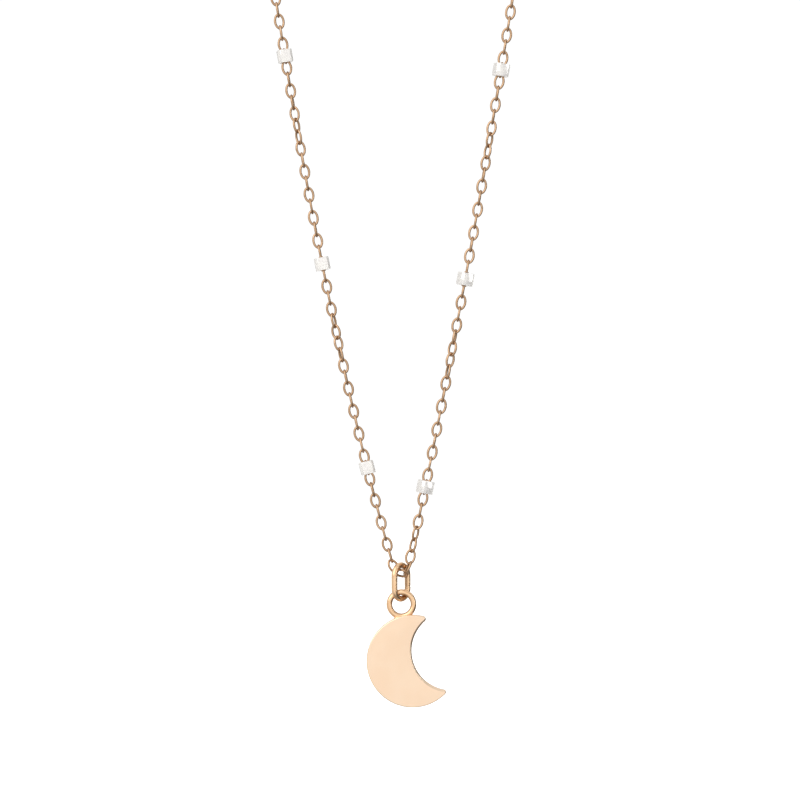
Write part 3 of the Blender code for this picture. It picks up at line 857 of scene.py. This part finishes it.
def horn_headings(tip):
    """From a horn's centre: to the outer line, to the inner line, and to its far point."""
    out, into = heading(MOON_AT, tip), heading(tip, BITE_C)
    far = math.atan2(math.sin(out) + math.sin(into), math.cos(out) + math.cos(into))
    return out, into, far


def boundary():
    """The outer and the inner line of the crescent, both from the top horn's far point to
    the lower horn's."""
    top_out, top_in, top_far = horn_headings(TOP_TIP)
    low_out, low_in, low_far = horn_headings(LOW_TIP)
    outer = arc_points(TOP_TIP, TOP_TIP_R, top_far, turned(top_out, top_far), 8)
    outer += arc_points(MOON_C, MOON_R, top_out, turned(low_out, top_out), 120)[1:]
    outer += arc_points(LOW_TIP, LOW_TIP_R, low_out, turned(low_far, low_out), 8)[1:]
    inner = arc_points(TOP_TIP, TOP_TIP_R, top_far, turned_back(top_in, top_far), 8)
    start = heading(BITE_AT, TOP_TIP)
    end = turned(heading(BITE_AT, LOW_TIP), start)
    inner += arc_points(BITE_C, BITE_R, start, end, 90)[1:]
    inner += arc_points(LOW_TIP, LOW_TIP_R, low_in, turned_back(low_far, low_in), 8)[1:]
    return outer, inner


def even(points, n):
    """n + 1 points spread along a line of points, closer together at its ends."""
    lengths = running_lengths(points)
    spread = []
    for i in range(n + 1):
        u = i / n
        u = 0.72 * u + 0.28 * (0.5 - 0.5 * math.cos(math.pi * u))
        spread.append(along(points, lengths, min(u * lengths[-1], lengths[-1] - 1e-9)))
    return spread


def cross_line(start, end):
    """Points from start to end, crowded by both ends."""
    length = (end - start).length
    half_rows = ROWS // 2
    distances = [
        min(near, length / 2 * (i / half_rows) ** 1.9) for i, near in enumerate(NEAR_EDGE)
    ]
    # the rest of the way to the middle is shared out evenly
    last, rest = distances[-1], half_rows + 1 - len(NEAR_EDGE)
    distances += [last + (length / 2 - last) * i / rest for i in range(1, rest + 1)]
    shares = [d / length if length > 1e-9 else 0 for d in distances]
    shares += [1 - share for share in reversed(shares[:-1])]
    return [start.lerp(end, share) for share in shares]


def edge_distance(p):
    """How far inside the crescent's outline p lies."""
    for tip, radius in ((TOP_TIP, TOP_TIP_R), (LOW_TIP, LOW_TIP_R)):
        # within the horn's rounded end, between its two tangent points
        to_outer, to_inner = (tip - MOON_C).normalized(), (BITE_C - tip).normalized()
        far = (to_outer + to_inner).normalized()
        off = p - tip
        if off.length < 1e-9 or off.normalized().dot(far) > far.dot(to_outer):
            return max(0.0, radius - off.length)
    return max(0.0, min(MOON_R - (p - MOON_C).length, (p - BITE_C).length - BITE_R))


def edge_radius(p):
    """The front's inner, concave edge is rounded more than the outer one."""
    to_outer, to_bite = MOON_R - (p - MOON_C).length, (p - BITE_C).length - BITE_R
    share = smooth(0.5 + (to_outer - to_bite) / 1.2)
    return OUTER_EDGE_R + (INNER_EDGE_R - OUTER_EDGE_R) * share


def round_drop(d, radius):
    """How far a face rounded at its edge lies behind its plane, d in from the edge."""
    return radius - math.sqrt(radius * radius - (radius - d) ** 2) if d < radius else 0.0


def build_moon():
    outer_line, inner_line = boundary()
    bm = bmesh.new()
    front, back = [], []
    for start, end in zip(even(outer_line, COLS), even(inner_line, COLS)):
        front_row, back_row = [], []
        for p in cross_line(start, end):
            d = edge_distance(p)
            crown = CROWN_H * (1 - smooth(d / CROWN_REACH)) ** 1.5
            front_y = -MOON_T / 2 + (round_drop(d, edge_radius(p)) + crown)
            back_y = MOON_T / 2 - round_drop(d, BACK_EDGE_R)
            front_row.append(bm.verts.new((p.x, front_y, p.y)))
            back_row.append(bm.verts.new((p.x, back_y, p.y)))
        front.append(front_row)
        back.append(back_row)
    last = len(front[0]) - 1
    for i in range(COLS):
        f, f_next, b, b_next = front[i], front[i + 1], back[i], back[i + 1]
        for j in range(last):
            bm.faces.new((f[j], f[j + 1], f_next[j + 1], f_next[j]))
            bm.faces.new((b[j], b_next[j], b_next[j + 1], b[j + 1]))
        for j in (0, last):
            bm.faces.new((f[j], f_next[j], b_next[j], b[j]))
    # the rows run together at the horns
    bmesh.ops.remove_doubles(bm, verts=bm.verts, dist=2e-4)
    bmesh.ops.dissolve_degenerate(bm, edges=bm.edges, dist=1e-4)
    finish_piece("moon_body", bm, MOON, "moon", replaces="moon_plate", sharp=50)


# ---------------------------------------------------------------- clasp helpers
def ellipse(x, a, b, start, end, n):
    """Points (x, z) on an ellipse about (x, 0), from heading start to end in degrees."""
    angles = [math.radians(start + (end - start) * i / n) for i in range(n + 1)]
    return [(x + a * math.cos(angle), b * math.sin(angle)) for angle in angles]


def mesh_of(bm, name):
    mesh = bpy.data.meshes.new(name)
    bm.to_mesh(mesh)
    bm.free()
    return mesh


def temporary(data):
    ob = bpy.data.objects.new("temp", data)
    bpy.context.scene.collection.objects.link(ob)
    return ob


def evaluated_mesh(ob):
    bpy.context.view_layer.update()
    graph = bpy.context.evaluated_depsgraph_get()
    return bpy.data.meshes.new_from_object(ob.evaluated_get(graph))


def rounded_plate(outline, thickness, edge, resolution):
    """A plate in the XZ plane whose edges are rounded over, about the clasp's middle."""
    curve = bpy.data.curves.new("outline", "CURVE")
    curve.dimensions = "2D"
    curve.fill_mode = "BOTH"
    curve.extrude = thickness / 2 - edge
    curve.bevel_depth = edge
    curve.bevel_resolution = resolution
    curve.offset = -edge
    spline = curve.splines.new("POLY")
    spline.points.add(len(outline) - 1)
    for point, (x, z) in zip(spline.points, outline):
        point.co = (x, z, 0, 1)
    spline.use_cyclic_u = True
    ob = temporary(curve)
    mesh = evaluated_mesh(ob)
    mesh.transform(Matrix.Rotation(math.pi / 2, 4, "X"))
    bpy.data.objects.remove(ob)
    bm = bmesh.new()
    bm.from_mesh(mesh)
    bmesh.ops.remove_doubles(bm, verts=bm.verts, dist=1e-4)
    bmesh.ops.recalc_face_normals(bm, faces=bm.faces)
    bm.to_mesh(mesh)
    bm.free()
    return mesh


def bar(radius, length, x, z):
    """A round bar along y."""
    bm = bmesh.new()
    bmesh.ops.create_cone(
        bm, cap_ends=True, segments=32, radius1=radius, radius2=radius, depth=length
    )
    bmesh.ops.rotate(bm, matrix=Matrix.Rotation(math.pi / 2, 3, "X"), verts=bm.verts)
    bmesh.ops.translate(bm, vec=(x, 0, z), verts=bm.verts)
    return mesh_of(bm, "bar")


def block(low, high):
    low, high = Vector(low), Vector(high)
    bm = bmesh.new()
    bmesh.ops.create_cube(bm, size=1)
    bmesh.ops.scale(bm, vec=high - low, verts=bm.verts)
    bmesh.ops.translate(bm, vec=(low + high) / 2, verts=bm.verts)
    return mesh_of(bm, "block")


def combine(mesh, others):
    """mesh joined with or cut by each (operation, mesh)."""
    ob = temporary(mesh)
    helpers = []
    for operation, other in others:
        helper = temporary(other)
        helpers.append(helper)
        modifier = ob.modifiers.new("cut", "BOOLEAN")
        modifier.operation = operation
        modifier.solver = "EXACT"
        modifier.object = helper
    result = evaluated_mesh(ob)
    for used in [ob] + helpers:
        bpy.data.objects.remove(used)
    return result


def clasp_piece(name, mesh, body, replaces):
    bm = bmesh.new()
    bm.from_mesh(mesh)
    bmesh.ops.translate(bm, vec=(CLASP_X, 0, CLASP_Z), verts=bm.verts)
    bmesh.ops.remove_doubles(bm, verts=bm.verts, dist=1e-4)
    bmesh.ops.dissolve_degenerate(bm, edges=bm.edges, dist=1e-4)
    finish_piece(name, bm, CLASP, body, replaces=replaces, sharp=35)


# ---------------------------------------------------------------- clasp
# (x, z) of the neck between the eyelet and the claw
NECK = [
    (EYELET_X + 0.5, -0.9),
    (EYELET_X + 1.9, -1.25),
    (EYELET_X + 1.9, 1.25),
    (EYELET_X + 0.5, 0.9),
]
# (x, z) of the lever round its pivot and out to its thumb tab, after its two arcs
LEVER_TAB = [
    (-1.10, -0.98), (-1.75, -0.92), (-2.35, -1.15), (-2.75, -1.75), (-3.35, -2.45),
    (-3.85, -2.95), (-3.55, -3.30), (-3.00, -3.00), (-2.60, -2.68),
]  # fmt: skip
# (radius, height above the clasp's face) of the rivet's low domes, from the middle out
RIVET_DOME = [(0.10, 0.065), (0.20, 0.05), (0.27, 0.025), (RIVET_R, -0.03)]
# (x, z) of the spring's wire
SPRING = [(-3.45, -1.25), (-3.30, -0.66), (-2.40, -0.50), (-1.60, -0.52), (-1.18, -0.80)]


def build_claw():
    """The claw with its eyelet and neck, slotted for the lever and bored for the rivet."""
    claw = ellipse(0, CLASP_A, CLASP_B, HOOK_TIP, PALM_END + 360, 96)
    claw += ellipse(MOUTH_X, MOUTH_A, MOUTH_B, PALM_END - 15 + 360, HOOK_TIP, 64)
    angles = [FULL_TURN * i / 48 for i in range(48)]
    eyelet = [(EYELET_DISC_X + EYELET_R * math.cos(a), EYELET_R * math.sin(a)) for a in angles]
    slot = block((SLOT_LEFT, -SLOT_T / 2, SLOT_LOW), (SLOT_RIGHT, SLOT_T / 2, SLOT_TOP))
    mesh = combine(
        rounded_plate(claw, CLASP_T, edge=0.36, resolution=5),
        [
            ("UNION", rounded_plate(eyelet, EYELET_T, edge=0.28, resolution=4)),
            ("UNION", rounded_plate(NECK, EYELET_T, edge=0.24, resolution=3)),
            ("DIFFERENCE", bar(EYELET_HOLE, CLASP_T + 1, EYELET_X, 0)),
            ("DIFFERENCE", slot),
            ("DIFFERENCE", bar(RIVET_R + 0.02, CLASP_T + 1, *PIVOT)),
        ],
    )
    clasp_piece("clasp_claw", mesh, "upper_chain", "clasp_body")


def build_lever():
    """The lever, which carries the claw's curve on across its gap."""
    lever = ellipse(0, CLASP_A, CLASP_B, PALM_END - 10, HOOK_TIP - 2.5, 28)
    lever += ellipse(MOUTH_X, MOUTH_A, MOUTH_B, HOOK_TIP - 3.5, PALM_END - 12, 24)
    mesh = combine(
        rounded_plate(lever + LEVER_TAB, LEVER_T, edge=0.10, resolution=3),
        [("DIFFERENCE", bar(RIVET_R + 0.03, LEVER_T + 1, *PIVOT))],
    )
    clasp_piece("clasp_trigger", mesh, "clasp_lever", "clasp_lever")


def build_rivet():
    """A pin whose two ends are peened into low domes."""
    half_t = CLASP_T / 2
    rows = [(-half_t - height, radius) for radius, height in RIVET_DOME]
    rows += [(half_t + height, radius) for radius, height in reversed(RIVET_DOME)]
    angles = [FULL_TURN * i / 32 for i in range(32)]
    bm = bmesh.new()
    rings = []
    for y, r in rows:
        points = [(PIVOT[0] + r * math.cos(a), y, PIVOT[1] + r * math.sin(a)) for a in angles]
        rings.append([bm.verts.new(point) for point in points])
    skin(bm, rings)
    bm.faces.new(rings[0])
    bm.faces.new(rings[-1])
    bmesh.ops.translate(bm, vec=(CLASP_X, 0, CLASP_Z), verts=bm.verts)
    finish_piece("clasp_pin", bm, CLASP, "upper_chain", replaces="clasp_rivet", sharp=60)


def spline_through(points, steps):
    """A Catmull-Rom curve through points, with so many steps between each two."""
    padded = [points[0] * 2 - points[1]] + points + [points[-1] * 2 - points[-2]]
    fine = []
    for i in range(1, len(padded) - 2):
        a, b, c, d = padded[i - 1 : i + 3]
        for step in range(steps):
            t = step / steps
            linear = (c - a) * t
            square = (2 * a - 5 * b + 4 * c - d) * t * t
            cube = (3 * b - a - 3 * c + d) * t**3
            fine.append(0.5 * (2 * b + linear + square + cube))
    return fine + [points[-1]]


def build_spring():
    """A leaf of wire over the lever, one end held in the palm."""
    points = [Vector((CLASP_X + x, 0, CLASP_Z + z)) for x, z in SPRING]
    bm = bmesh.new()
    sweep(bm, spline_through(points, 8), Vector((0, 1, 0)), SPRING_R, 10, closed=False)
    spring = finish_piece(
        "clasp_leaf_spring",
        bm,
        STEEL,
        body=None,
        replaces="clasp_spring",
        sharp=60,
    )
    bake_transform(spring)


def build_jump_ring(cad_name, x, radius, wire):
    """A level ring beside the clasp, with its closed cut showing as a seam."""
    loop = circle_loop((CLASP_X + x, 0, CLASP_Z), radius, 72, (1, 0, 0), (0, 1, 0))
    bm = bmesh.new()
    thickness = seamed(wire / 2, at=0.20, change=-0.16, width=0.006)
    sweep(bm, loop, Vector((0, 0, 1)), thickness, 18)
    finish_piece(f"{cad_name}_wire", bm, ROSE, cad_name, replaces=cad_name)


# ---------------------------------------------------------------- floor
FLOOR_R = 1.6  # metres
FLOOR_GAP = 0.035  # metres below the necklace


def pale_floor():
    material = bpy.data.materials.new("pale_floor")
    material.use_nodes = True
    inputs = material.node_tree.nodes["Principled BSDF"].inputs
    inputs["Base Color"].default_value = (0.96, 0.96, 0.96, 1)
    inputs["Roughness"].default_value = 0.9
    inputs["Specular IOR Level"].default_value = 0.0
    inputs["Emission Color"].default_value = (1, 1, 1, 1)
    inputs["Emission Strength"].default_value = 0.35
    return material


def build_floor(lowest):
    bm = bmesh.new()
    bmesh.ops.create_circle(bm, cap_ends=True, segments=96, radius=FLOOR_R)
    mesh = mesh_of(bm, "floor")
    floor = bpy.data.objects.new("floor", mesh)
    floor.location = (0, 0, lowest - FLOOR_GAP)
    bpy.context.scene.collection.objects.link(floor)
    mesh.materials.append(pale_floor())
    floor.visible_glossy = False


# ---------------------------------------------------------------- light
# Brightness mirrored from each way: (axis, from, to, value at from, value at to)
MIRRORED = {
    "front": ("Y", -0.90, -0.45, 1.0, 0.0),
    "left": ("X", -0.82, -0.25, 0.75, 0.0),
    "back": ("Y", 0.48, 0.75, 0.0, 0.70),
    "top": ("Z", 0.35, 0.85, 0.0, 0.85),
    "below": ("Z", -0.85, -0.35, 0.30, 0.0),
}
DARKEST = 0.10


def build_world():
    """White all round as the camera sees it, and even for matt surfaces. What the metal
    mirrors is bright in front, above, behind and to the left, dim below and dark to the
    right, so that round wire has drawn edges."""
    sky = bpy.data.worlds.new("studio")
    bpy.context.scene.world = sky
    sky.use_nodes = True
    tree = sky.node_tree
    tree.nodes.clear()
    where = tree.nodes.new("ShaderNodeTexCoord").outputs["Generated"]
    axes = add_node(tree, "ShaderNodeSeparateXYZ", {"Vector": where}).outputs
    light = {way: ramp(tree, axes[axis], *span) for way, (axis, *span) in MIRRORED.items()}

    def brighter(a, b):
        return math_node(tree, "MAXIMUM", a, b)

    def background(colour, strength):
        inputs = {"Color": (*colour, 1), "Strength": strength}
        return add_node(tree, "ShaderNodeBackground", inputs).outputs[0]

    def choose(factor, if_not, if_so):
        inputs = {0: factor, 1: if_not, 2: if_so}
        return add_node(tree, "ShaderNodeMixShader", inputs).outputs[0]

    lit = brighter(brighter(light["front"], light["back"]), light["top"])
    lit = brighter(brighter(lit, light["left"]), light["below"])
    lit = brighter(lit, DARKEST)
    seen = background((1, 1, 1), strength=1.05)
    mirrored = background((1.0, 0.985, 0.965), strength=lit)
    even_sky = background((1.0, 0.99, 0.975), strength=0.62)
    ray = tree.nodes.new("ShaderNodeLightPath").outputs
    by_kind = choose(ray["Is Diffuse Ray"], mirrored, even_sky)
    surface = choose(ray["Is Camera Ray"], by_kind, seen)
    add_node(tree, "ShaderNodeOutputWorld", {"Surface": surface})


def soft_light(name, at, aim, size, power, colour=(1, 1, 1)):
    data = bpy.data.lights.new(name, "AREA")
    data.shape = "RECTANGLE"
    data.size, data.size_y = size
    data.energy = power
    data.color = colour
    light = bpy.data.objects.new(name, data)
    light.location = at
    light.rotation_euler = (Vector(aim) - Vector(at)).to_track_quat("-Z", "Y").to_euler()
    bpy.context.scene.collection.objects.link(light)
    return light


def build_lights(middle):
    """Places and sizes are in metres, power in watts."""
    soft_light(
        "key",
        at=(-0.45, -0.55, 0.35),
        aim=middle,
        size=(0.9, 0.9),
        power=3.0,
        colour=(1.0, 0.98, 0.95),
    )
    soft_light("fill", at=(0.6, -0.35, 0.0), aim=middle, size=(0.12, 0.6), power=0.6)
    wash = soft_light(
        "floor_wash", at=(0.0, -0.2, 0.9), aim=(0, 0, -0.3), size=(1.6, 1.6), power=22.0
    )
    wash.visible_glossy = False


# ---------------------------------------------------------------- camera
VIEW_W = 0.100  # metres across at the necklace


def build_camera():
    """Level and square to the front, on the lower part of the necklace."""
    aim = world(-0.08, 0.0, 21.65)
    data = bpy.data.cameras.new("camera")
    data.sensor_width = 36.0
    data.lens = 150.0
    data.clip_start, data.clip_end = 0.01, 20.0
    away = VIEW_W / 2 / (data.sensor_width / 2 / data.lens)
    camera = bpy.data.objects.new("camera", data)
    camera.location = (aim.x, aim.y - away, aim.z)
    camera.rotation_euler = (math.pi / 2, 0, 0)
    scene = bpy.context.scene
    scene.collection.objects.link(camera)
    scene.camera = camera
    scene.view_settings.view_transform = "Standard"


# ---------------------------------------------------------------- build
build_chain()
build_beads()
build_oval_ring()
build_eye_ring()
build_solder()
build_moon()
build_claw()
build_lever()
build_rivet()
build_spring()
build_jump_ring("clasp_ring", CLASP_RING_X, CLASP_RING_R, CLASP_RING_WIRE)
build_jump_ring("end_ring", END_RING_X, END_RING_R, END_RING_WIRE)

low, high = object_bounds()
build_floor(low.z)
build_world()
build_lights((low + high) / 2)
build_camera()
